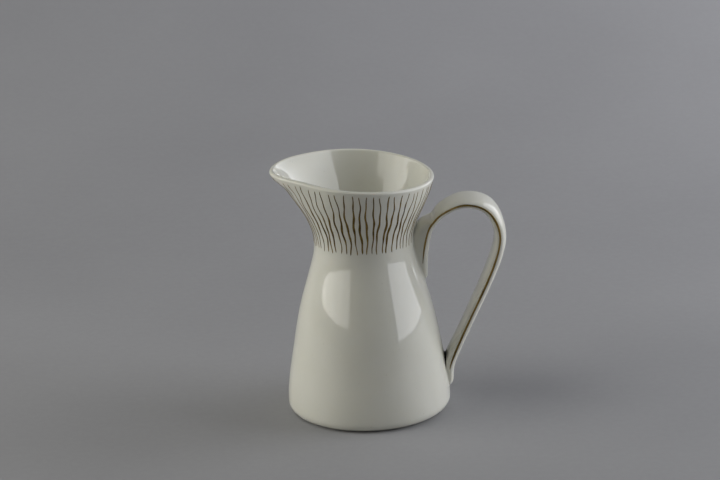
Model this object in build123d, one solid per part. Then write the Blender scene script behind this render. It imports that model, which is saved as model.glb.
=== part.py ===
from build123d import *
import math
import os

# A porcelain cream jug: an hourglass body with a pulled pouring lip, a broad strap handle luted on with
# slip at two roots, a band of brushed gold lines round the neck and a gold line along each edge of the
# handle. Millimetres, +Z up. The origin is on the body's axis, where the foot ring meets the table. The
# pouring lip points to -X and the handle to +X, and the jug is alike on both sides of the XZ plane.

# ---------------------------------------------------------------- body
# The body's outer outline as height, radius, and how far the pouring lip stands out beyond that radius: a
# full belly, a waist, then a flare up to the rim
OUTLINE = [
    (0, 37.8, 0),
    (6, 37.9, 0),
    (14, 37.3, 0),
    (24, 35.75, 0),
    (34, 34.0, 0),
    (44, 32.2, 0),
    (54, 29.8, 0),
    (62, 27.45, 0),
    (70, 25.05, 0),
    (76, 23.6, 0),
    (80.5, 23.15, 0),
    (85, 23.35, 0),
    (90, 24.6, 0),
    (96, 27.15, 0),
    (102, 29.95, 0.9),
    (107, 32.0, 2.2),
    (110.5, 33.1, 3.8),
    (113, 33.8, 6.1),
    (115.5, 34.35, 7.7),
    (118, 34.8, 8.2),
    (122, 35.4, 8.4),
]
BELLY_R = OUTLINE[0][1]
FLARE_TOP = OUTLINE[-1][0]  # the flare is drawn this high, then cut down to the rim
SECTION_POINTS = 36  # points round each section of the body

WALL_FOOT = 2.9  # wall thickness at the foot
WALL_RIM = 2.2  # wall thickness at the rim
FLOOR_TOP = 4.8  # height of the inside floor
FLOOR_FILLET = 7.0  # inside corner between wall and floor
RIM_FILLET = 0.9

FOOT_FILLET = 4.5  # outside corner between wall and foot ring
FOOT_INNER_R = 30.8  # the foot ring's inner edge
FOOT_INNER_FILLET = 0.8
RECESS_TOP_R = 29.6  # the recess inside the foot ring narrows to this
RECESS_DEPTH = 1.8  # the base inside the foot ring stands this far off the table

# ---------------------------------------------------------------- pouring lip and rim
LIP_REACH = 8.0  # the lip's tip stands this far outside the round rim
LIP_HALF_ANGLE = 65.0  # the lip dies out this far round from its tip, in degrees
LIP_SHARPNESS = 1.8  # how pointed the lip is, seen from above

# The rim as X and height: it rises gently from the handle to the lip and dips at the lip's tip
RIM_LINE = [(52, 110.5), (34, 112.0), (0, 115.0), (-18, 116.45), (-32, 117.35), (-42, 116.6), (-52, 114)]

# ---------------------------------------------------------------- handle
# The strap, station by station, along the line of its two side edges. Each station is X, Z, the direction
# of travel in degrees up from +X, the half width, the height outside that line and the depth inside it
STRAP = [
    (26.6, 62.2, 90, 2.4, 4.0, 1.9),
    (26.6, 63.7, 90, 3.7, 4.5, 2.5),
    (26.6, 66.2, 88, 4.9, 5.2, 2.7),
    (26.8, 70.2, 86, 5.7, 6.2, 2.6),
    (27.7, 78.0, 82, 6.2, 7.0, 2.5),
    (29.9, 87.0, 68, 7.0, 5.5, 2.5),
    (32.3, 91.0, 56, 7.7, 1.5, 2.6),
    (35.4, 94.4, 43, 8.4, 1.8, 2.6),
    (43.0, 98.7, 15, 9.5, 1.7, 2.6),
    (50.8, 99.1, -13, 9.8, 2.3, 2.6),
    (57.9, 95.3, -45, 9.4, 3.3, 2.6),
    (62.2, 87.0, -79, 8.9, 3.1, 2.6),
    (62.0, 77.0, -102, 8.5, 3.3, 2.5),
    (57.4, 63.5, -113, 8.0, 3.1, 2.4),
    (51.4, 50.3, -115, 7.5, 3.0, 2.3),
    (45.3, 37.2, -115, 7.1, 2.8, 2.3),
    (40.2, 25.6, -110, 6.9, 2.6, 3.1),
    (37.9, 18.4, -98, 6.8, 2.4, 3.2),
    (37.4, 12.8, -92, 6.6, 2.4, 3.2),
    (36.4, 10.3, -90, 6.2, 2.2, 3.2),
    (34.6, 8.7, -90, 5.6, 1.6, 3.2),
]
STRAP_SQUARENESS = 2.6  # the strap's section is a superellipse of this power
STRAP_POINTS = 24  # points round each section of the strap
SLIP = 0.9  # the slip's bead stands this far off both strap and body

# ---------------------------------------------------------------- gold
GOLD_RELIEF = 0.18  # the gold stands this far above the glaze
NECK_LINES = 60
LINE_TOP_GAP = 1.7  # the neck lines stop this far below the rim
LINE_FOOT = 81.8  # and start at this height, in the waist
ROOT_HALF_ANGLE = 18.0  # lines this near the handle start above its upper root instead, in degrees
LINE_FOOT_AT_ROOT = 92.5
LINE_THIN = 0.4  # width of a line at its ends
LINE_SWELL = 0.75  # what the brush's pressure adds to that
LINE_WANDER = 0.5  # a line wanders this far to each side
LINE_WAVES = 1.25  # waves along a line
LINE_RAGGED = 0.6  # the ends of the lines differ by up to this much
LINE_SECTIONS = 24  # sections along a line

EDGE_LINE = 1.0  # width of the gold line along each edge of the handle
GOLD_ROOT = 0.5  # gold is drawn from this deep under the glaze, then cut back to it
EDGE_LINE_STATIONS = (3, 17)  # the strap's stations that it runs between, counting from 0
EDGE_LINE_SECTIONS = 45  # sections along that line


# ---------------------------------------------------------------- body pieces
def lip_share(angle):
    """How far the lip stands out, from 0 to 1, at an angle in radians from its tip."""
    limit = math.radians(LIP_HALF_ANGLE)
    if abs(angle) >= limit:
        return 0.0
    return ((1 + math.cos(math.pi * angle / limit)) / 2) ** LIP_SHARPNESS


def lean(i):
    """How much longer a level step across the wall is than one square to it, at the outline's point i."""
    (z0, r0, _), (z1, r1, _) = OUTLINE[max(i - 1, 0)], OUTLINE[min(i + 1, len(OUTLINE) - 1)]
    return math.hypot(1, (r1 - r0) / (z1 - z0))


def closed_curve(points):
    """A smooth closed curve through points, with even parameters so that a loft of such curves stays light."""
    parameters = [k / len(points) for k in range(len(points) + 1)]
    return Wire([Edge.make_spline(points, periodic=True, parameters=parameters)])


def ring(z, radius, lip):
    """A level section of the body, with the pouring lip standing out at -X by lip."""
    points = []
    for k in range(SECTION_POINTS):
        turn = 2 * math.pi * k / SECTION_POINTS
        r = radius + lip * lip_share(turn - math.pi)
        points.append((r * math.cos(turn), r * math.sin(turn), z))
    return closed_curve(points)


def envelope(grow=0.0):
    """The body's outer shape as a solid up to the flare's top, its skin moved outwards by grow."""
    return Solid.make_loft([ring(z, r + grow * lean(i), lip) for i, (z, r, lip) in enumerate(OUTLINE)])


def hollow():
    """The space inside the body, up to the flare's top."""
    rings = []
    for i, (z, r, lip) in enumerate(OUTLINE):
        wall = WALL_FOOT + (WALL_RIM - WALL_FOOT) * z / FLARE_TOP
        if z > FLOOR_TOP:
            rings.append(ring(z if rings else FLOOR_TOP, r - wall * lean(i), lip))
    space = Solid.make_loft(rings)
    floor_edge = space.edges().sort_by(Axis.Z)[0]
    return space.fillet(FLOOR_FILLET, [floor_edge])


def above_rim():
    """Everything above the rim."""
    (x0, z0), (x1, z1) = RIM_LINE[0], RIM_LINE[-1]
    top = FLARE_TOP + 1
    outline = Spline([(x, z) for x, z in RIM_LINE]) + Polyline((x1, z1), (x1, top), (x0, top), (x0, z0))
    depth = 2 * (BELLY_R + 1)
    return extrude(Plane.XZ.offset(-depth / 2) * make_face(outline), depth)


def foot_recess():
    """The shallow recess under the base, inside the foot ring."""
    profile = Polyline((0, 0), (FOOT_INNER_R, 0), (RECESS_TOP_R, RECESS_DEPTH), (0, RECESS_DEPTH), (0, 0))
    return revolve(Plane.XZ * make_face(profile), Axis.Z)


def jug_body(outside):
    """The body: wall, floor, pouring lip, rim and foot ring."""
    body = outside - hollow() - above_rim()
    round_edges = body.edges().filter_by(lambda edge: edge.length > 2 * BELLY_R)
    rim_edges = [edge for edge in round_edges if edge.bounding_box().min.Z > RIM_LINE[0][1]]
    body = body.fillet(RIM_FILLET, rim_edges)
    foot_edge = body.edges().filter_by(lambda edge: edge.length > 2 * BELLY_R).sort_by(Axis.Z)[0]
    body = body.fillet(FOOT_FILLET, [foot_edge]) - foot_recess()
    foot_inner_edge = body.edges().filter_by(GeomType.CIRCLE).sort_by(Axis.Z)[0]
    return body.fillet(FOOT_INNER_FILLET, [foot_inner_edge])


# ---------------------------------------------------------------- handle pieces
def strap_frame(station):
    """A station's place on the line of the edges, and the unit direction out of the loop."""
    x, z, travel = station[:3]
    turn = math.radians(travel)
    return Vector(x, 0, z), Vector(-math.sin(turn), 0, math.cos(turn))


def strap_ring(station, grow):
    """The strap's section at a station, its skin moved outwards by grow."""
    place, outward = strap_frame(station)
    half_width, outside, inside = station[3:]
    power = 2 / STRAP_SQUARENESS
    points = []
    for k in range(STRAP_POINTS):
        turn = 2 * math.pi * k / STRAP_POINTS - math.pi / 2
        across, up = math.cos(turn), math.sin(turn)
        y = (half_width + grow) * math.copysign(abs(across) ** power, across)
        height = ((outside if up > 0 else inside) + grow) * math.copysign(abs(up) ** power, up)
        points.append(place + outward * height + Vector(0, y, 0))
    return closed_curve(points)


def strap(grow=0.0):
    """The whole strap, running on into the body at both ends."""
    return Solid.make_loft([strap_ring(station, grow) for station in STRAP])


def joint_slips(outside, bare_strap):
    """The beads of slip in the corners between strap and body: the lower one, then the upper one."""
    beads = (strap(SLIP) & envelope(SLIP)) - outside - bare_strap
    return beads.solids().sort_by(Axis.Z)


def edge_line(bare_strap):
    """The gold line along the strap's edge on the -Y side, lying on the strap's skin."""
    first, last = EDGE_LINE_STATIONS
    path = Spline([strap_frame(station)[0] for station in STRAP[first:last + 1]])
    skin = bare_strap.faces().filter_by(GeomType.BSPLINE)[0]
    sections = []
    for step in range(EDGE_LINE_SECTIONS):
        share = step / (EDGE_LINE_SECTIONS - 1)
        travel = path % share
        lift = Vector(-travel.Z, 0, travel.X) * (EDGE_LINE / 2)
        hits = [point for point, _ in skin.find_intersection_points(Axis(path @ share, (0, -1, 0)))]
        edge = min(hits, key=lambda point: point.Y)
        rooted, proud = Vector(0, GOLD_ROOT, 0), Vector(0, -GOLD_RELIEF, 0)
        corners = [edge + rooted + lift, edge + proud + lift, edge + proud - lift, edge + rooted - lift]
        sections.append(Wire.make_polygon(corners))
    line = Solid.make_loft(sections, ruled=True) - bare_strap
    return line.solids().sort_by(SortBy.VOLUME)[-1]


# ---------------------------------------------------------------- neck lines
def scatter(k, series):
    """A fixed, uneven number from -1 to 1 for line k, different in each series."""
    return 2 * math.modf(abs(math.sin(12.9898 * k + 78.233 * series) * 43758.5453))[0] - 1


def rim_height(x):
    """The rim's height at X, along straight runs between the points of its line."""
    for (x1, z1), (x0, z0) in zip(RIM_LINE, RIM_LINE[1:]):
        if x0 <= x <= x1:
            return z0 + (z1 - z0) * (x - x0) / (x1 - x0)
    raise ValueError("X is outside the rim")


def neck_line_span(k, bearing):
    """The heights where line k starts and ends, at a bearing in degrees from the handle."""
    turn = math.radians(bearing)
    rim_r = OUTLINE[-2][1] + LIP_REACH * lip_share(math.pi - abs(turn))
    top = rim_height(rim_r * math.cos(turn)) - LINE_TOP_GAP + LINE_RAGGED * scatter(k, 1)
    foot = LINE_FOOT_AT_ROOT if abs(bearing) < ROOT_HALF_ANGLE else LINE_FOOT
    return foot + LINE_RAGGED * scatter(k, 2), top


def skin_point(skin, outward, sideways, height):
    """Where a level line, straight outwards but moved sideways, leaves the body's skin."""
    across = Vector(-outward.Y, outward.X, 0) * sideways
    level = Axis(across + Vector(0, 0, height), outward)
    hits = [point for point, _ in skin.find_intersection_points(level)]
    return max(hits, key=lambda point: point.dot(outward))


def neck_line(k, outside, skin):
    """Brushed line k, lying on the body's skin: thin at its ends, wandering and swelling between."""
    bearing = 360 * (k + 0.5) / NECK_LINES - 180
    outward = Vector(1, 0, 0).rotate(Axis.Z, bearing)
    foot, top = neck_line_span(k, bearing)
    waves = LINE_WAVES * (1 + 0.2 * scatter(k, 3))
    sections = []
    for step in range(LINE_SECTIONS):
        share = step / (LINE_SECTIONS - 1)
        height = foot + (top - foot) * share
        sway = LINE_WANDER * math.sin(2 * math.pi * waves * share + math.pi * scatter(k, 4))
        half_width = (LINE_THIN + LINE_SWELL * math.sin(math.pi * share**0.75) ** 2) / 2
        left = skin_point(skin, outward, sway - half_width, height)
        right = skin_point(skin, outward, sway + half_width, height)
        rooted, proud = outward * -GOLD_ROOT, outward * GOLD_RELIEF
        sections.append(Wire.make_polygon([left + rooted, right + rooted, right + proud, left + proud]))
    return Solid.make_loft(sections) - outside


def neck_gold_lines(outside):
    """All the brushed lines, each a sliver of its own on the glaze."""
    skin = outside.faces().filter_by(GeomType.BSPLINE)[0]
    return Compound([neck_line(k, outside, skin) for k in range(NECK_LINES)])


# ---------------------------------------------------------------- the nodes
outside = envelope()
bare_strap = strap()
lower_slip, upper_slip = joint_slips(outside, bare_strap)
right_edge_line = edge_line(bare_strap)

nodes = {
    "jug_body": jug_body(outside),
    "handle": bare_strap - outside,
    "upper_joint_slip": upper_slip,
    "lower_joint_slip": lower_slip,
    "neck_gold_lines": neck_gold_lines(outside),
    "handle_gold_line_left": right_edge_line.mirror(Plane.XZ),
    "handle_gold_line_right": right_edge_line,
}

os.makedirs("parts", exist_ok=True)
for name, shape in nodes.items():
    export_step(shape, f"parts/{name}.step")
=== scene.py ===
import math

import bpy
import numpy as np
from mathutils import Matrix, Vector


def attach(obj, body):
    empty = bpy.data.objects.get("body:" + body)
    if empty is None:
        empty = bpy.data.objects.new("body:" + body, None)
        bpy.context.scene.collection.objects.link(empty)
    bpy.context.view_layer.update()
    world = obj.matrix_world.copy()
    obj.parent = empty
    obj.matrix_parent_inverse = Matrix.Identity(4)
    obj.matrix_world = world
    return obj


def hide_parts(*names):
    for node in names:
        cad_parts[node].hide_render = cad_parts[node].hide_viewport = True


# The looks of a porcelain cream jug, over its CAD frame: smooth glazed meshes for the body, the strap
# handle and its two slip joints, hand-brushed gold lines, and a plain grey sweep under soft light.
# Shapes are worked out in millimetres, in the frame's own axes, and turned into metres in make_piece.
# The studio is in metres. The pouring lip points to -X and the handle to +X.

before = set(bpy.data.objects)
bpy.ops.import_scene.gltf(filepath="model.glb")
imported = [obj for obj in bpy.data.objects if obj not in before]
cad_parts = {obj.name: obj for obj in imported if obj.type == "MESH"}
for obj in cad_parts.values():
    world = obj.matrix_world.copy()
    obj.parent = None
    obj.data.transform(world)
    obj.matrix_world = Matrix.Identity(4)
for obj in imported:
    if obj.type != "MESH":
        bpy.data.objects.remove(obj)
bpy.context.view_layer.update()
MM = 0.001

# ---------------------------------------------------------------- the body's shape
# The outer outline as height, radius, and how far the pouring lip stands out beyond that radius
OUTLINE = [
    (0, 37.8, 0),
    (6, 37.9, 0),
    (14, 37.3, 0),
    (24, 35.75, 0),
    (34, 34.0, 0),
    (44, 32.2, 0),
    (54, 29.8, 0),
    (62, 27.45, 0),
    (70, 25.05, 0),
    (76, 23.6, 0),
    (80.5, 23.15, 0),
    (85, 23.35, 0),
    (90, 24.6, 0),
    (96, 27.15, 0),
    (102, 29.95, 0.9),
    (107, 32.0, 2.2),
    (110.5, 33.1, 3.8),
    (113, 33.8, 6.1),
    (115.5, 34.35, 7.7),
    (118, 34.8, 8.2),
    (122, 35.4, 8.4),
]
LIP_HALF_ANGLE = math.radians(65)  # the lip dies out this far round from its tip
LIP_SHARPNESS = 1.8
RIM_LINE = [(-52, 114), (-42, 116.6), (-32, 117.35), (-18, 116.45), (0, 115.0), (34, 112.0), (52, 110.5)]
RIM_ROUND = 1.0  # height of the rounded rim over the wall's end
WALL_FOOT = 2.9  # wall thickness at the foot and at the rim
WALL_RIM = 2.2
FLOOR_TOP = 4.8
FLOOR_FILLET = 7.0
FOOT_FILLET = 4.5
FOOT_INNER_R = 30.8
FOOT_INNER_FILLET = 0.8
RECESS_TOP_R = 29.6
RECESS_DEPTH = 1.8

BODY_COLUMNS = 256  # faces round the body
WALL_ROWS = 120  # faces up the wall, outside and inside
ARC_ROWS = 10  # faces over a rounded edge

# ---------------------------------------------------------------- the handle's shape
# Stations along the line of the strap's edges: X, Z, half width, height outside the line, depth inside it
STRAP = [
    (26.6, 60.7, 1.3, 3.0, 0.1),
    (26.6, 62.2, 2.4, 4.0, 1.9),
    (26.6, 63.7, 3.7, 4.5, 2.5),
    (26.6, 66.2, 4.9, 5.2, 2.7),
    (26.8, 70.2, 5.7, 6.2, 2.6),
    (27.7, 78.0, 6.2, 7.0, 2.5),
    (29.9, 87.0, 7.0, 5.5, 2.5),
    (32.3, 91.0, 7.7, 1.5, 2.6),
    (35.4, 94.4, 8.4, 1.8, 2.6),
    (43.0, 98.7, 9.5, 1.7, 2.6),
    (50.8, 99.1, 9.8, 2.3, 2.6),
    (57.9, 95.3, 9.4, 3.3, 2.6),
    (62.2, 87.0, 8.9, 3.1, 2.6),
    (62.0, 77.0, 8.5, 3.3, 2.5),
    (57.4, 63.5, 8.0, 3.1, 2.4),
    (51.4, 50.3, 7.5, 3.0, 2.3),
    (45.3, 37.2, 7.1, 2.8, 2.3),
    (40.2, 25.6, 6.9, 2.6, 3.1),
    (37.9, 18.4, 6.8, 2.4, 3.2),
    (37.4, 12.8, 6.6, 2.4, 3.2),
    (36.4, 10.3, 6.2, 2.2, 3.2),
    (34.6, 8.7, 5.6, 1.6, 3.2),
]
# The strap's direction of travel at each station, in degrees up from +X
TRAVEL = [90, 90, 90, 88, 86, 82, 68, 56, 43, 15, -13]
TRAVEL += [-45, -79, -102, -113, -115, -115, -110, -98, -92, -90, -90]
STRAP_SQUARENESS = 2.6  # the strap's section is a superellipse of this power
STRAP_ROWS = 320
STRAP_COLUMNS = 96
STRAP_BURIED = 1.2  # the strap runs on this deep inside the body's wall

SLIP_REACH_UPPER = 1.6  # how far the slip's cove spreads over body and strap
SLIP_REACH_LOWER = 0.6
CROTCH_REACH = 1.9  # how much further it spreads at the top of a root, where strap and body part
CROTCH_DROP = 4.0  # and how far down the root that dies out
SLIP_SUNK = 0.4  # the cove's underside is sunk this deep into body and strap
SLIP_COLUMNS = 180
COVE_ROWS = 12
UPPER_ROOT_STATIONS = (0, 9)  # the strap's skin leaves the body between these stations
LOWER_ROOT_STATIONS = (len(STRAP) - 1, 15)

EDGE_LINE = 1.1  # width of the gold line along each edge of the handle
EDGE_LINE_STATIONS = (4.1, 18.0)
EDGE_LINE_ROWS = 260

# ---------------------------------------------------------------- the brushed lines
NECK_LINES = 60
LINE_TOP_GAP = 1.9  # the lines stop this far below the rim
LINE_FOOT = 81.8  # and start at this height, in the waist
ROOT_HALF_ANGLE = 18  # lines this near the handle start above its upper root instead, in degrees
LINE_FOOT_AT_ROOT = 92.5
LINE_THIN = 0.24  # half width of a line where the brush is lifted
GOLD_RELIEF = 0.09  # the gold stands this far above the glaze
GOLD_SUNK = 1.0  # scale of how deep its flat underside is sunk into the glaze
NECK_LINE_ROWS = 44

rng = np.random.default_rng(7)
scene = bpy.context.scene


# ---------------------------------------------------------------- curves and meshes
def smooth_curve(xs, ys):
    """The natural cubic spline through points, as a function."""
    xs, ys = np.array(xs, float), np.array(ys, float)
    gaps, count = np.diff(xs), len(xs)
    system, slopes = np.eye(count), np.zeros(count)
    rates = np.diff(ys) / gaps
    for i in range(1, count - 1):
        system[i, i - 1:i + 2] = gaps[i - 1], 2 * (gaps[i - 1] + gaps[i]), gaps[i]
        slopes[i] = 6 * (rates[i] - rates[i - 1])
    bends = np.linalg.solve(system, slopes)

    def at(x):
        x = np.asarray(x, float)
        i = np.clip(np.searchsorted(xs, x) - 1, 0, count - 2)
        t, gap = x - xs[i], gaps[i]
        rate = rates[i] - gap * (2 * bends[i] + bends[i + 1]) / 6
        return ys[i] + t * rate + t**2 * bends[i] / 2 + t**3 * (bends[i + 1] - bends[i]) / (6 * gap)

    return at


def grid_faces(rows, columns, first=0):
    """Quads between rows of points that each close on themselves, as index lists."""
    faces = []
    for i in range(rows - 1):
        for j in range(columns):
            k = (j + 1) % columns
            a, b = first + i * columns, first + (i + 1) * columns
            faces.append((a + j, a + k, b + k, b + j))
    return faces


def make_piece(name, points, faces, materials, body="root"):
    """A smooth-shaded piece from points in millimetres, riding on a body."""
    mesh = bpy.data.meshes.new(name)
    mesh.from_pydata([tuple(p) for p in np.asarray(points) * MM], [], faces)
    mesh.validate()
    mesh.shade_smooth()
    for material in materials:
        mesh.materials.append(material)
    piece = bpy.data.objects.new(name, mesh)
    bpy.context.scene.collection.objects.link(piece)
    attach(piece, body)
    return piece


heights = [z for z, _, _ in OUTLINE]
round_radius = smooth_curve(heights, [r for _, r, _ in OUTLINE])
lip_reach = smooth_curve(heights, [lip for _, _, lip in OUTLINE])
rim_height = smooth_curve(*zip(*RIM_LINE))


def lip_share(turn):
    """How far the lip stands out, from 0 to 1, at a turn in radians from the handle."""
    off = np.abs((np.asarray(turn) + 2 * math.pi) % (2 * math.pi) - math.pi)
    inside = np.clip(off / LIP_HALF_ANGLE, 0, 1)
    return ((1 + np.cos(math.pi * inside)) / 2) ** LIP_SHARPNESS


def body_radius(turn, z):
    """The body's outer radius at a turn and a height."""
    return round_radius(z) + lip_reach(z) * lip_share(turn)


def body_point(turn, z):
    """A point on the body's outer skin."""
    r = body_radius(turn, z)
    return np.stack([r * np.cos(turn), r * np.sin(turn), z + 0 * r], -1)


def body_normal(turn, z):
    """The outward normal of the body's outer skin."""
    step = 1e-3
    along = body_point(turn, z + step) - body_point(turn, z - step)
    round_ = body_point(turn + step, z) - body_point(turn - step, z)
    normal = np.cross(round_, along)
    return normal / np.linalg.norm(normal, axis=-1, keepdims=True)


def wall_end(turn):
    """The height where the wall ends and the rim's rounding starts."""
    z = np.full_like(turn, RIM_LINE[-3][1])
    for _ in range(20):
        z = rim_height(body_radius(turn, z) * np.cos(turn)) - RIM_ROUND
    return z


# ---------------------------------------------------------------- body
def foot_profile():
    """Radius and height from the middle of the recess out to the wall, and which rows are unglazed."""
    arcs = np.linspace(0, math.pi / 2, ARC_ROWS + 1)
    foot_r = round_radius(FOOT_FILLET)
    inner = FOOT_INNER_R + FOOT_INNER_FILLET
    recess = [(r, RECESS_DEPTH) for r in np.linspace(2, RECESS_TOP_R - 1, 14)]
    shoulder = [(RECESS_TOP_R, RECESS_DEPTH - 0.25), (FOOT_INNER_R - 0.35, 0.7)]
    inner_arc = [(inner - FOOT_INNER_FILLET * math.cos(a), 0.5 * (1 - math.sin(a))) for a in arcs[2:]]
    outer_r = foot_r - FOOT_FILLET
    flat = [(r, 0) for r in np.linspace(inner + 0.3, outer_r, 4)]
    outer_arc = [(outer_r + FOOT_FILLET * math.sin(a), FOOT_FILLET * (1 - math.cos(a))) for a in arcs[1:]]
    rows = recess + shoulder + inner_arc + flat + outer_arc
    bare_from = len(recess) + len(shoulder) + len(inner_arc) // 2
    return rows, range(bare_from, len(rows) - len(outer_arc) + 1)


def wall_rows(turns):
    """Rows of points up the outer wall, over the rim and down the inner wall to the floor's fillet."""
    end = wall_end(turns)
    shares = np.linspace(0, 1, WALL_ROWS)[1:]
    outer = [body_point(turns, FOOT_FILLET + (end - FOOT_FILLET) * share) for share in shares]

    def wall(z):
        return (WALL_FOOT + (WALL_RIM - WALL_FOOT) * z / heights[-1])[:, None]

    normal, thick = body_normal(turns, end), wall(end)
    upward = body_point(turns, end + 0.01) - body_point(turns, end - 0.01)
    upward /= np.linalg.norm(upward, axis=-1, keepdims=True)
    middle = outer[-1] - normal * thick / 2
    rim = []
    for a in np.linspace(0, math.pi, 2 * ARC_ROWS + 1)[1:-1]:
        flat = math.copysign(abs(math.cos(a)) ** 0.85, math.cos(a))
        rim.append(middle + normal * thick / 2 * flat + upward * RIM_ROUND * math.sin(a) ** 0.85)
    low = FLOOR_TOP + FLOOR_FILLET
    inner = []
    for share in shares[::-1]:
        z = low + (end - low) * share
        inner.append(body_point(turns, z) - body_normal(turns, z) * wall(z))
    return outer + rim + inner


def floor_rows(last_ring):
    """Rows of points round the fillet at the bottom of the inner wall and over the floor to its middle."""
    edge_r = np.linalg.norm(last_ring[0, :2])
    edge_z = last_ring[0, 2]
    rows = []
    for a in np.linspace(0, math.pi / 2, ARC_ROWS + 1)[1:]:
        r = edge_r - FLOOR_FILLET * (1 - math.cos(a))
        rows.append((r, edge_z - (edge_z - FLOOR_TOP) * math.sin(a)))
    rows += [(r, FLOOR_TOP) for r in np.linspace(edge_r - FLOOR_FILLET, 2, 12)[1:]]
    return rows


def level_row(r, z, turns):
    """A level circle of points."""
    return np.stack([r * np.cos(turns), r * np.sin(turns), np.full_like(turns, z)], -1)


def make_body(glaze, bisque):
    """The body, as one closed skin of glazed clay with a bare foot ring."""
    turns = 2 * math.pi * np.arange(BODY_COLUMNS) / BODY_COLUMNS
    foot, bare_rows = foot_profile()
    rows = [level_row(r, z, turns) for r, z in foot]
    rows += wall_rows(turns)
    rows += [level_row(r, z, turns) for r, z in floor_rows(rows[-1])]
    points = np.concatenate(rows + [[(0, 0, RECESS_DEPTH)], [(0, 0, FLOOR_TOP)]])
    faces = grid_faces(len(rows), BODY_COLUMNS)
    recess_pole, floor_pole = len(points) - 2, len(points) - 1
    last = (len(rows) - 1) * BODY_COLUMNS
    for j in range(BODY_COLUMNS):
        k = (j + 1) % BODY_COLUMNS
        faces.append((recess_pole, k, j))
        faces.append((last + j, last + k, floor_pole))
    body = make_piece("jug_body_porcelain", points, faces, [glaze, bisque])
    for i in bare_rows:
        for face in body.data.polygons[i * BODY_COLUMNS:(i + 1) * BODY_COLUMNS]:
            face.material_index = 1
    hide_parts("jug_body")
    return body


# ---------------------------------------------------------------- handle
stations = np.arange(len(STRAP))
strap_curves = [smooth_curve(stations, column) for column in zip(*STRAP)]
travel_curve = smooth_curve(stations, TRAVEL)


def strap_frame(station):
    """Places, outward directions, half widths, heights and depths of the strap at stations."""
    x, z, half_width, outside, inside = (curve(station) for curve in strap_curves)
    turn = np.radians(travel_curve(station))
    place = np.stack([x, 0 * x, z], -1)
    outward = np.stack([-np.sin(turn), 0 * turn, np.cos(turn)], -1)
    return place, outward, half_width, outside, inside


def strap_point(station, turn, grow=0.0):
    """A point on the strap's skin. Turn 0 is the +Y edge and a quarter turn is the loop's outside."""
    place, outward, half_width, outside, inside = strap_frame(station)
    across, up = np.cos(turn), np.sin(turn)
    power = 2 / STRAP_SQUARENESS
    y = (half_width + grow) * np.sign(across) * np.abs(across) ** power
    height = (np.where(up > 0, outside, inside) + grow) * np.sign(up) * np.abs(up) ** power
    point = place + outward * height[..., None]
    point[..., 1] += y
    return point


def body_clearance(points):
    """How far points stand outside the body's outer skin, negative inside it."""
    turn = np.arctan2(points[..., 1], points[..., 0])
    z = points[..., 2]
    out = np.hypot(points[..., 0], points[..., 1]) - body_radius(turn, z)
    skin = body_normal(turn, z)
    return out * np.hypot(skin[..., 0], skin[..., 1])


def keep_in_wall(points, depth):
    """Moves the points deeper than this inside the body's skin out to that depth."""
    deep = np.maximum(-depth - body_clearance(points), 0)
    r = np.hypot(points[..., 0], points[..., 1])
    points[..., :2] *= ((r + deep) / r)[..., None]
    return points


def strap_turns(columns):
    """Even turns round the strap's section, from the middle of its inner face."""
    return 2 * math.pi * np.arange(columns) / columns - math.pi / 2


def make_handle(glaze):
    """The strap, running on into the body's wall at both ends."""
    along = np.linspace(0, len(STRAP) - 1, STRAP_ROWS)[:, None]
    points = keep_in_wall(strap_point(along, strap_turns(STRAP_COLUMNS)[None, :]), STRAP_BURIED)
    faces = grid_faces(STRAP_ROWS, STRAP_COLUMNS)
    last = (STRAP_ROWS - 1) * STRAP_COLUMNS
    faces.append(tuple(range(STRAP_COLUMNS))[::-1])
    faces.append(tuple(last + j for j in range(STRAP_COLUMNS)))
    handle = make_piece("strap_handle", points.reshape(-1, 3), faces, [glaze])
    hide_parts("handle")
    return handle


def root_loop(buried, clear, count):
    """The closed curve where the strap's skin meets the body's, between a station that is buried in the
    body and one that is clear of it. It is given as stations and turns, in even steps along the curve."""
    turns = strap_turns(8 * SLIP_COLUMNS)
    steps = np.linspace(buried, clear, 500)
    free = body_clearance(strap_point(steps[:, None], turns[None, :])) > 0
    last_buried = len(steps) - 1 - np.argmax(np.flip(~free, 0), axis=0)
    inside, outside = steps[last_buried], steps[np.minimum(last_buried + 1, len(steps) - 1)]
    for _ in range(30):
        middle = (inside + outside) / 2
        free = body_clearance(strap_point(middle, turns)) > 0
        inside, outside = np.where(free, inside, middle), np.where(free, middle, outside)
    station = np.append(middle, middle[0])
    turn = np.append(turns, turns[0] + 2 * math.pi)
    places = strap_point(station, turn)
    run = np.append(0, np.cumsum(np.linalg.norm(np.diff(places, axis=0), axis=1)))
    even = np.arange(count) / count * run[-1]
    return np.interp(even, run, station), np.interp(even, run, turn)


def unit(vectors):
    """The vectors scaled to length 1."""
    return vectors / np.linalg.norm(vectors, axis=-1, keepdims=True)


def strap_normal(station, turn):
    """The outward normal of the strap's skin."""
    step = 1e-3
    along = strap_point(station + step, turn) - strap_point(station - step, turn)
    round_ = strap_point(station, turn + step) - strap_point(station, turn - step)
    normal = unit(np.cross(round_, along))
    place, _, _, _, _ = strap_frame(station)
    facing = np.sum(normal * (strap_point(station, turn) - place), axis=-1, keepdims=True)
    return normal * np.sign(facing)


def onto_strap(station, turn, target):
    """The point of the strap's skin nearest to a target, sought from a station and turn near it."""
    for _ in range(12):
        step = 1e-3
        here = strap_point(station, turn)
        along = (strap_point(station + step, turn) - here) / step
        round_ = (strap_point(station, turn + step) - here) / step
        miss = target - here
        a, b, c = (along * along).sum(-1), (along * round_).sum(-1), (round_ * round_).sum(-1)
        p, q = (along * miss).sum(-1), (round_ * miss).sum(-1)
        spread = a * c - b * b
        station = station + np.clip((c * p - b * q) / spread, -0.2, 0.2)
        turn = turn + np.clip((a * q - b * p) / spread, -0.1, 0.1)
    return strap_point(station, turn), strap_normal(station, turn)


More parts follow.
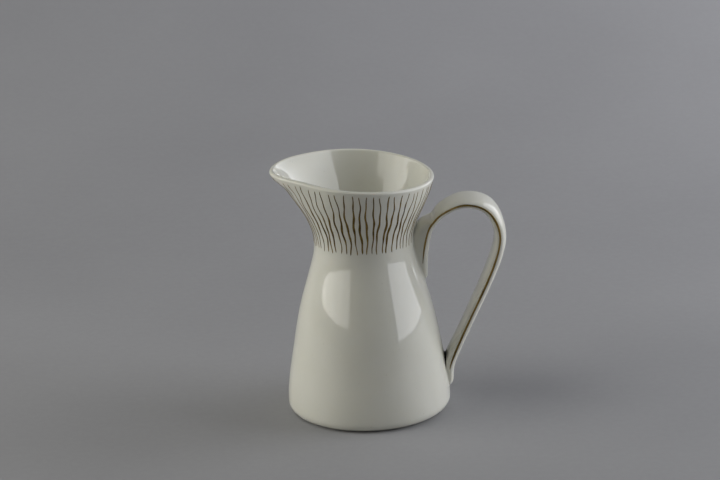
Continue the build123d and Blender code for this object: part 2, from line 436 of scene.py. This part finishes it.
def onto_body(points):
    """The points of the body's skin level with some points, and the normals there."""
    turn = np.arctan2(points[..., 1], points[..., 0])
    return body_point(turn, points[..., 2]), body_normal(turn, points[..., 2])


def make_slip(name, node, root_stations, reach, glaze):
    """The cove of slip round a root: tangent to body and strap, and sunk into both underneath."""
    station, turn = root_loop(*root_stations, SLIP_COLUMNS)
    seam = strap_point(station, turn)
    tangent = unit(np.roll(seam, -1, 0) - np.roll(seam, 1, 0))
    _, skin = onto_body(seam)
    side = strap_normal(station, turn)
    over_body, up_strap = np.cross(tangent, skin), np.cross(tangent, side)
    over_body *= np.sign((over_body * side).sum(-1, keepdims=True))
    up_strap *= np.sign((up_strap * skin).sum(-1, keepdims=True))
    crotch = np.clip((seam[:, 2:] - seam[:, 2].max()) / CROTCH_DROP + 1, 0, 1)
    reach = reach + CROTCH_REACH * crotch**2
    low, low_normal = onto_body(seam + reach * over_body)
    high, high_normal = onto_strap(station, turn, seam + reach * up_strap)
    rows = []
    for u in np.linspace(0, 1, COVE_ROWS):
        rows.append((1 - u) ** 2 * low + 2 * u * (1 - u) * seam + u**2 * high)
    rows.append(high - SLIP_SUNK * high_normal)
    rows.append(seam - SLIP_SUNK * unit(skin + side))
    rows.append(low - SLIP_SUNK * low_normal)
    points = np.concatenate(rows)
    faces = grid_faces(len(rows) + 1, SLIP_COLUMNS)
    faces = [tuple(v % len(points) for v in face) for face in faces]
    slip = make_piece(name, points, faces, [glaze])
    keep_sharp(slip, [0, COVE_ROWS - 1], SLIP_COLUMNS)
    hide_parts(node)
    return slip


def keep_sharp(piece, rows, columns):
    """Keeps the shading from running over the edges along these rows."""
    crease = {row * columns + j for row in rows for j in range(columns)}
    for edge in piece.data.edges:
        a, b = edge.vertices
        edge.use_edge_sharp = a in crease and b in crease and a // columns == b // columns


# ---------------------------------------------------------------- gold lines
# The section of a gold line, as how far across and how far up: a low rounded top over a flat underside
LINE_RING = [(-1, -0.3), (-1, -0.03), (-0.55, 0.75), (0, 1), (0.55, 0.75), (1, -0.03), (1, -0.3)]


def ribbon(centre, sideways, outward, half_width, relief):
    """Rows of points round a line of gold: a low rounded top and a flat sunk underside."""
    rows = []
    for across, up in LINE_RING:
        lift = relief if up > 0 else GOLD_SUNK
        rows.append(centre + sideways * (across * half_width)[:, None] + outward * (up * lift))
    return np.stack(rows, 1)


def ribbon_mesh(rings, first):
    """Vertices and faces of a closed ribbon, numbered from the first vertex."""
    count, columns, _ = rings.shape
    faces = grid_faces(count, columns, first)
    last = first + (count - 1) * columns
    faces.append(tuple(range(first, first + columns))[::-1])
    faces.append(tuple(range(last, last + columns)))
    return rings.reshape(-1, 3), faces


def brush_path(share):
    """How a hand-brushed line wanders sideways and swells, over shares of its length."""
    waves, phase = rng.uniform(0.9, 1.7), rng.uniform(0, 2 * math.pi)
    drift = rng.uniform(-0.35, 0.35)
    wander = 0.55 * np.sin(2 * math.pi * waves * share + phase) * (0.5 + 0.5 * share)
    wander += 0.16 * np.sin(2 * math.pi * 3.3 * share + 2.7 * phase) + drift * (share - 0.5)
    middle, spread = rng.uniform(0.32, 0.52), rng.uniform(0.24, 0.36)
    swell = np.exp(-(((share - middle) / spread) ** 2))
    second = rng.uniform(0, 0.6) * np.exp(-(((share - rng.uniform(0.7, 0.9)) / 0.09) ** 2))
    half_width = LINE_THIN + rng.uniform(0.26, 0.44) * np.maximum(swell, second)
    half_width *= 1 + 0.10 * np.sin(2 * math.pi * 5.1 * share + 5 * phase)
    blunt = np.clip(np.minimum(share, 1 - share) / 0.02, 0.05, 1) ** 0.5
    return wander, half_width * blunt


def make_neck_lines(gold):
    """All the brushed lines round the neck, each a closed ribbon lying on the glaze."""
    share = np.linspace(0, 1, NECK_LINE_ROWS)
    points, faces, count = [], [], 0
    for k in range(NECK_LINES):
        bearing = 2 * math.pi * (k + 0.5 + rng.uniform(-0.12, 0.12)) / NECK_LINES - math.pi
        near_root = abs(bearing) < math.radians(ROOT_HALF_ANGLE)
        foot = (LINE_FOOT_AT_ROOT if near_root else LINE_FOOT) + rng.uniform(-0.5, 0.5)
        top = wall_end(np.array([bearing]))[0] + RIM_ROUND - LINE_TOP_GAP + rng.uniform(-0.4, 0.4)
        z = foot + (top - foot) * share
        wander, half_width = brush_path(share)
        turn = bearing + wander / body_radius(bearing, z)
        centre, outward = body_point(turn, z), body_normal(turn, z)
        sideways = unit(np.cross(outward, np.gradient(centre, axis=0)))
        rings = ribbon(centre, sideways, outward, half_width, GOLD_RELIEF)
        ring_points, ring_faces = ribbon_mesh(rings, count)
        points.append(ring_points)
        faces += ring_faces
        count += len(ring_points)
    lines = make_piece("neck_brushed_lines", np.concatenate(points), faces, [gold])
    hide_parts("neck_gold_lines")
    return lines


def make_edge_line(name, node, side, gold):
    """The gold line along one edge of the strap: side is +1 for +Y and -1 for -Y."""
    station = np.linspace(*EDGE_LINE_STATIONS, EDGE_LINE_ROWS)
    place, outward, half_width, outside, inside = strap_frame(station)
    share = np.linspace(0, 1, len(station))
    width = EDGE_LINE / 2 * (1 + 0.08 * np.sin(37 * share) + 0.05 * np.sin(83 * share + 1))
    width *= np.clip(np.minimum(share / 0.12, (1 - share) / 0.06), 0.1, 1) ** 0.5
    rings = []
    for across, up in LINE_RING:
        height = across * width
        reach = np.where(height > 0, outside, inside)
        y = half_width * (1 - (np.abs(height) / reach) ** STRAP_SQUARENESS) ** (1 / STRAP_SQUARENESS)
        point = place + outward * height[:, None]
        point[:, 1] = side * (y + up * (GOLD_RELIEF if up > 0 else GOLD_SUNK))
        rings.append(point)
    rings = np.stack(rings, 1)
    if side < 0:
        rings = rings[:, ::-1]
    points, faces = ribbon_mesh(rings, 0)
    line = make_piece(name, points, faces, [gold])
    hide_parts(node)
    return line


# ---------------------------------------------------------------- materials
PAINTED_SHADE_HEIGHTS = (0.0185, 0.0225)  # where the painted shade in the lower root starts and is full, in metres


def new_material(name):
    """A node material, with its tree and its shader."""
    material = bpy.data.materials.new(name)
    material.use_nodes = True
    tree = material.node_tree
    return material, tree, tree.nodes["Principled BSDF"]


def noise(tree, scale, detail=3.0, stretch=None):
    """A noise over the object's own coordinates, with its scale in repeats per metre."""
    place = tree.nodes.new("ShaderNodeTexCoord")
    texture = tree.nodes.new("ShaderNodeTexNoise")
    texture.inputs["Scale"].default_value = scale
    texture.inputs["Detail"].default_value = detail
    source = place.outputs["Object"]
    if stretch:
        mapping = tree.nodes.new("ShaderNodeMapping")
        mapping.inputs["Scale"].default_value = stretch
        tree.links.new(source, mapping.inputs["Vector"])
        source = mapping.outputs["Vector"]
    tree.links.new(source, texture.inputs["Vector"])
    return texture.outputs["Fac"]


def ramp(tree, source, *stops):
    """Colours spread over a source's values: each stop is a place and a colour."""
    node = tree.nodes.new("ShaderNodeValToRGB")
    elements = node.color_ramp.elements
    while len(elements) < len(stops):
        elements.new(0.5)
    for element, (place, colour) in zip(elements, stops):
        element.position = place
        element.color = (*colour, 1)
    tree.links.new(source, node.inputs["Fac"])
    return node.outputs["Color"]


def spread(tree, source, low, high):
    """A source's middle values spread from low to high."""
    node = tree.nodes.new("ShaderNodeMapRange")
    node.inputs["From Min"].default_value = 0.3
    node.inputs["From Max"].default_value = 0.7
    node.inputs["To Min"].default_value = low
    node.inputs["To Max"].default_value = high
    tree.links.new(source, node.inputs["Value"])
    return node.outputs["Result"]


def add_bump(tree, shader, source, depth):
    """Relief from a source, its depth in metres."""
    node = tree.nodes.new("ShaderNodeBump")
    node.inputs["Distance"].default_value = depth
    tree.links.new(source, node.inputs["Height"])
    tree.links.new(node.outputs["Normal"], shader.inputs["Normal"])


def glaze_material(name, pale, deep):
    """Clear glaze over cream clay: faint mottling, a few specks, a hand-finished ripple."""
    material, tree, shader = new_material(name)
    mottle = ramp(tree, noise(tree, 45), (0.3, deep), (0.7, pale))
    specks = tree.nodes.new("ShaderNodeTexVoronoi")
    specks.inputs["Scale"].default_value = 260
    coords = tree.nodes.new("ShaderNodeTexCoord")
    tree.links.new(coords.outputs["Object"], specks.inputs["Vector"])
    fleck = ramp(tree, specks.outputs["Distance"], (0.035, (0.62, 0.58, 0.5)), (0.075, (1, 1, 1)))
    mix = tree.nodes.new("ShaderNodeMix")
    mix.data_type = "RGBA"
    mix.blend_type = "MULTIPLY"
    tree.links.new(spread(tree, noise(tree, 90), 0.0, 0.6), mix.inputs["Factor"])
    tree.links.new(mottle, mix.inputs["A"])
    tree.links.new(fleck, mix.inputs["B"])
    tree.links.new(mix.outputs["Result"], shader.inputs["Base Color"])
    tree.links.new(spread(tree, noise(tree, 120), 0.03, 0.07), shader.inputs["Roughness"])
    shader.inputs["IOR"].default_value = 1.5
    shader.inputs["Subsurface Weight"].default_value = 0.12
    shader.inputs["Subsurface Radius"].default_value = (1.0, 0.9, 0.7)
    shader.inputs["Subsurface Scale"].default_value = 0.0015
    add_bump(tree, shader, noise(tree, 160, 2), 0.00003)
    return material


def painted_shade_slip_material(name, pale, deep):
    """Glazed slip with near-black painted shade over the top of the lower root, standing in for the deep
    shadow in the crevice there.
    """
    material, tree, shader = new_material(name)
    clay = ramp(tree, noise(tree, 60), (0.3, deep), (0.7, pale))
    place = tree.nodes.new("ShaderNodeTexCoord")
    axes = tree.nodes.new("ShaderNodeSeparateXYZ")
    tree.links.new(place.outputs["Object"], axes.inputs["Vector"])
    shade_mask = tree.nodes.new("ShaderNodeMapRange")
    shade_mask.inputs["From Min"].default_value, shade_mask.inputs["From Max"].default_value = PAINTED_SHADE_HEIGHTS
    tree.links.new(axes.outputs["Z"], shade_mask.inputs["Value"])
    # painted shade: this near-black colour stands in for the deep shadow in the crevice at the top of the
    # lower root
    shade_colour = ramp(tree, noise(tree, 800), (0.3, (0.010, 0.008, 0.005)), (0.7, (0.022, 0.018, 0.012)))
    mix = tree.nodes.new("ShaderNodeMix")
    mix.data_type = "RGBA"
    tree.links.new(shade_mask.outputs["Result"], mix.inputs["Factor"])
    tree.links.new(clay, mix.inputs["A"])
    tree.links.new(shade_colour, mix.inputs["B"])
    tree.links.new(mix.outputs["Result"], shader.inputs["Base Color"])
    tree.links.new(spread(tree, noise(tree, 300), 0.2, 0.6), shader.inputs["Roughness"])
    add_bump(tree, shader, noise(tree, 400, 2), 0.00003)
    return material


def bisque_material():
    """The bare fired clay of the foot ring: matt, fine-grained and a little rubbed."""
    material, tree, shader = new_material("bare_foot_clay")
    grain = noise(tree, 900, 6)
    tint = ramp(tree, noise(tree, 110), (0.3, (0.60, 0.54, 0.45)), (0.7, (0.74, 0.69, 0.60)))
    tree.links.new(tint, shader.inputs["Base Color"])
    tree.links.new(spread(tree, grain, 0.55, 0.8), shader.inputs["Roughness"])
    add_bump(tree, shader, grain, 0.00008)
    return material


def gold_material(name, light, dark, scale):
    """Fired gold lustre: thin bronze where the brush ran dry, richer where it pooled."""
    material, tree, shader = new_material(name)
    strokes = noise(tree, scale, 4, (1, 1, 0.35))
    tree.links.new(ramp(tree, strokes, (0.35, dark), (0.65, light)), shader.inputs["Base Color"])
    tree.links.new(spread(tree, noise(tree, 700), 0.28, 0.5), shader.inputs["Roughness"])
    shader.inputs["Metallic"].default_value = 1.0
    shader.inputs["Specular Tint"].default_value = (0.75, 0.58, 0.3, 1)
    add_bump(tree, shader, noise(tree, 1500, 3, (1, 1, 0.3)), 0.00004)
    return material


def paper_material():
    """Matt grey studio paper, a little uneven in tone."""
    material, tree, shader = new_material("studio_paper")
    tint = ramp(tree, noise(tree, 6, 5), (0.3, (0.305, 0.305, 0.314)), (0.7, (0.335, 0.335, 0.344)))
    tree.links.new(tint, shader.inputs["Base Color"])
    tree.links.new(spread(tree, noise(tree, 300), 0.7, 0.85), shader.inputs["Roughness"])
    return material


# ---------------------------------------------------------------- studio
WATTS_PER_RADIANCE = 4.0  # for a softbox of one square metre
# The left light's reflection dims towards the camera: its parts' azimuths, and their radiance
LEFT_GLOW = [(-112, -80, 2.8), (-80, -62, 2.45), (-62, -46, 2.1), (-46, -31, 1.7)]


def make_sweep():
    """A sheet of grey paper that lies flat under the jug and curves up behind it."""
    front, flat_to, bend, top = -2.6, 0.20, 1.1, 2.2
    profile = [(front, 0.0), (flat_to, 0.0)]
    for a in np.radians(range(3, 91, 3)):
        profile.append((flat_to + bend * math.sin(a), bend * (1 - math.cos(a))))
    profile.append((flat_to + bend, top))
    sides, clearance = (-3.0, 3.0), 0.0002
    points = [(x, y, z - clearance) for y, z in profile for x in sides]
    faces = [(2 * i, 2 * i + 1, 2 * i + 3, 2 * i + 2) for i in range(len(profile) - 1)]
    mesh = bpy.data.meshes.new("studio_sweep")
    mesh.from_pydata(points, [], faces)
    mesh.shade_smooth()
    mesh.materials.append(paper_material())
    sweep = bpy.data.objects.new("studio_sweep", mesh)
    scene.collection.objects.link(sweep)


def add_panel(name, centre, target, size, radiance, colour, in_glaze):
    """A panel of light turned to a target. It shines only in the glaze's reflections, or only elsewhere."""
    data = bpy.data.lights.new(name, "AREA")
    data.shape = "RECTANGLE"
    data.size, data.size_y = size
    data.energy = WATTS_PER_RADIANCE * radiance * size[0] * size[1]
    data.color = colour
    light = bpy.data.objects.new(name, data)
    light.location = centre
    light.rotation_euler = (Vector(centre) - Vector(target)).to_track_quat("Z", "Y").to_euler()
    light.visible_glossy = in_glaze
    light.visible_diffuse = not in_glaze
    scene.collection.objects.link(light)


def add_softbox(name, azimuths, distance, heights, radiance, colour, in_glaze):
    """An upright panel between two azimuths, measured from the camera's side to the right."""
    turn = math.radians(sum(azimuths) / 2)
    width = 2 * distance * math.tan(math.radians(azimuths[1] - azimuths[0]) / 2)
    middle = sum(heights) / 2
    centre = (distance * math.sin(turn), -distance * math.cos(turn), middle)
    size = (width, heights[1] - heights[0])
    add_panel(name, centre, (0, 0, middle), size, radiance, colour, in_glaze)


def set_up_lights():
    """A tall softbox to each side, as a glow in the glaze and a fill elsewhere, and two more fills."""
    warm, cool = (1.0, 0.985, 0.93), (0.97, 0.985, 1.03)
    for first, last, radiance in LEFT_GLOW:
        add_softbox("left_glow", (first, last), 0.6, (0.105, 0.45), radiance, warm, True)
    add_softbox("left_fill", (-112, -58), 0.8, (0.04, 0.62), 2.2, warm, False)
    add_softbox("right_glow", (50, 140), 0.7, (0.02, 1.00), 2.15, cool, True)
    add_softbox("right_fill", (66, 114), 0.8, (0.04, 0.62), 3.1, cool, False)
    add_panel("top_fill", (-0.6, -0.2, 1.5), (0, 0, 0), (0.8, 0.8), 1.85, (1.0, 1.0, 0.96), False)
    behind, backdrop = (0.85, 0.5, 1.0), (0.75, 1.25, 0.6)
    add_panel("backdrop_glow", behind, backdrop, (0.5, 0.5), 10.0, (0.95, 0.96, 1.05), False)
    world = bpy.data.worlds.new("studio_room")
    world.use_nodes = True
    background = world.node_tree.nodes["Background"]
    background.inputs["Color"].default_value = (0.98, 0.99, 1.0, 1)
    background.inputs["Strength"].default_value = 0.03
    scene.world = world


CAMERA_PLACE = (-0.00176, -1.57603, 0.61704)
CAMERA_PITCH = 18.77  # degrees down
CAMERA_ROLL = -2.14
LENS, SENSOR = 180, 36  # focal length and sensor width in millimetres


def set_up_camera():
    """A long lens, looking down on the jug and rolled a little, as a hand-levelled camera is."""
    pitch, roll = math.radians(CAMERA_PITCH), math.radians(CAMERA_ROLL)
    right = Vector((1, 0, 0))
    up = Vector((0, math.sin(pitch), math.cos(pitch)))
    forward = Vector((0, math.cos(pitch), -math.sin(pitch)))
    rolled_right = right * math.cos(roll) + up * math.sin(roll)
    rolled_up = up * math.cos(roll) - right * math.sin(roll)
    data = bpy.data.cameras.new("studio_camera")
    data.lens, data.sensor_width = LENS, SENSOR
    camera = bpy.data.objects.new("studio_camera", data)
    turn = Matrix((rolled_right, rolled_up, -forward)).transposed().to_4x4()
    camera.matrix_world = Matrix.Translation(CAMERA_PLACE) @ turn
    scene.collection.objects.link(camera)
    scene.camera = camera


glaze = glaze_material("cream_glaze", (0.79, 0.783, 0.698), (0.76, 0.753, 0.664))
slip_glaze = glaze_material("slip_glaze", (0.78, 0.773, 0.688), (0.74, 0.733, 0.644))
# the lower root's slip material, with painted shade at the top of the root's crevice
painted_shade_slip = painted_shade_slip_material("painted_shade_slip", (0.79, 0.785, 0.70), (0.75, 0.74, 0.65))
brushed_gold = gold_material("brushed_gold", (0.29, 0.20, 0.058), (0.13, 0.087, 0.024), 350)
lined_gold = gold_material("lined_gold", (0.36, 0.25, 0.07), (0.16, 0.11, 0.03), 180)

make_body(glaze, bisque_material())
make_handle(glaze)
make_slip("upper_root_slip", "upper_joint_slip", UPPER_ROOT_STATIONS, SLIP_REACH_UPPER, slip_glaze)
make_slip("lower_root_slip", "lower_joint_slip", LOWER_ROOT_STATIONS, SLIP_REACH_LOWER, painted_shade_slip)
make_neck_lines(brushed_gold)
make_edge_line("handle_edge_gold_left", "handle_gold_line_left", 1, lined_gold)
make_edge_line("handle_edge_gold_right", "handle_gold_line_right", -1, lined_gold)
make_sweep()
set_up_lights()
set_up_camera()
scene.view_settings.view_transform = "Standard"
